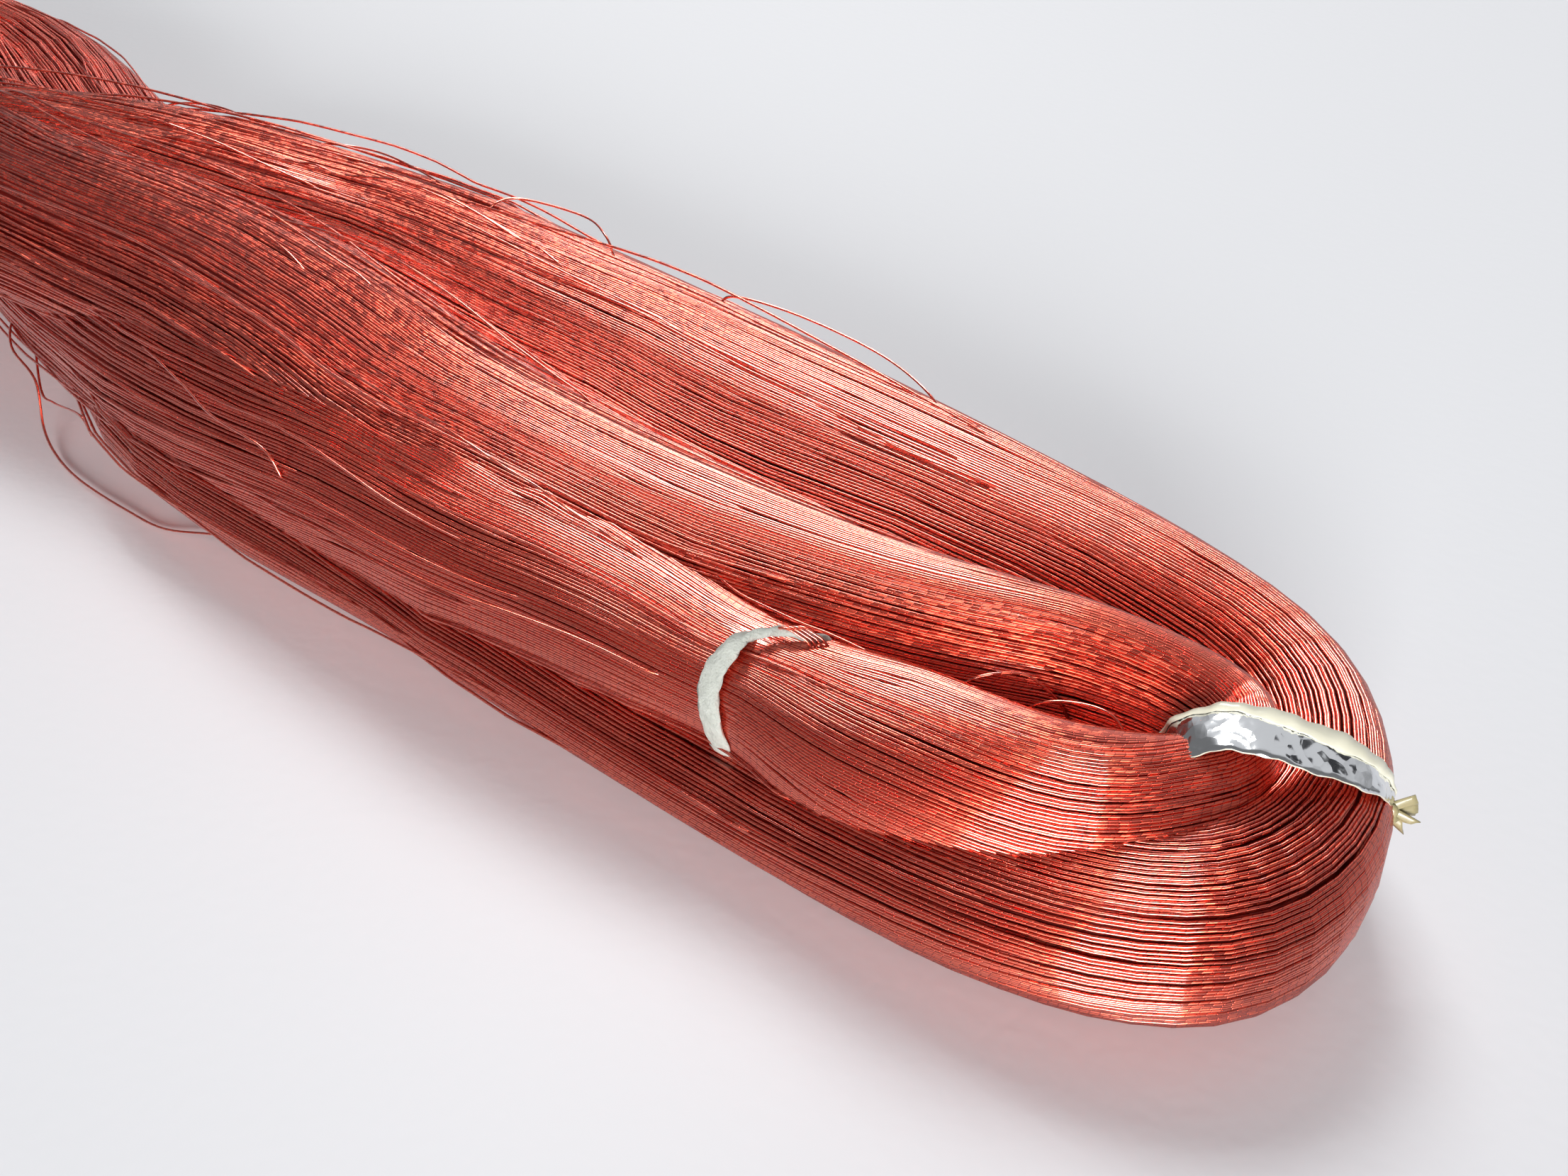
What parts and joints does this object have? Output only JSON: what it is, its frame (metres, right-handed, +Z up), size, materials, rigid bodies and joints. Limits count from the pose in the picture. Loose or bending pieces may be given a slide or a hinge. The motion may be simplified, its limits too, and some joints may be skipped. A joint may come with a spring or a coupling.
{
  "type": "skein of silver leaf thread",
  "caption": "Long twisted hank of red-lacquered silver-leaf thread, marked by a loop of metallised film at one loop end, with a paper twist round one lock.",
  "frame": {"origin": "under the middle of the whole hank, on the surface that it lies on", "axes": "+X along the hank towards the loop end with the film strip, +Y across it towards the strand without the paper tie, +Z up"},
  "size_m": [0.3028, 0.0422, 0.0168],
  "materials": {
    "leaf_thread": "thread wrapped in coral-red lacquered silver leaf, metallic sheen",
    "metallised_film": "crinkled silver film with a cream back",
    "twisted_paper": "matte white paper, rolled and flattened"
  },
  "bodies": {
    "root": {"hank": "leaf_thread", "foil_strip": "metallised_film", "paper_tie": "twisted_paper"}
  },
  "joints": []
}
